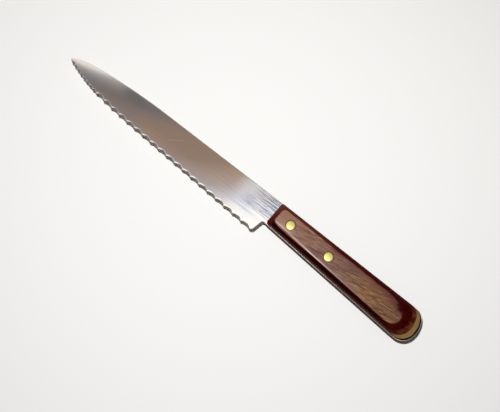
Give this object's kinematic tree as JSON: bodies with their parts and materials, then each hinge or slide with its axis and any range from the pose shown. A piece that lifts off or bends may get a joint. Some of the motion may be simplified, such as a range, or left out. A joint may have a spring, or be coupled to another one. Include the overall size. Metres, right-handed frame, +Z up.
{
  "type": "tomato knife",
  "caption": "Slim serrated kitchen knife for slicing tomatoes, with a scalloped steel blade, a full tang and laminated wood scales held by flush brass rivets.",
  "frame": {"origin": "on the table, under the middle of the knife's length and width", "axes": "+X along the knife from the tip to the butt of the handle, +Y across it from the teeth to the spine, +Z up, out of the ground face of the blade"},
  "size_m": [0.2515, 0.0228, 0.0127],
  "materials": {
    "steel": "fine polish along the blade",
    "wood": "clear gloss lacquer",
    "brass": "ground flush and polished"
  },
  "bodies": {
    "root": {"blade": "steel", "upper_scale": "wood", "lower_scale": "wood", "front_rivet_tube": "brass", "front_rivet_stem": "brass", "rear_rivet_tube": "brass", "rear_rivet_stem": "brass"}
  },
  "joints": []
}
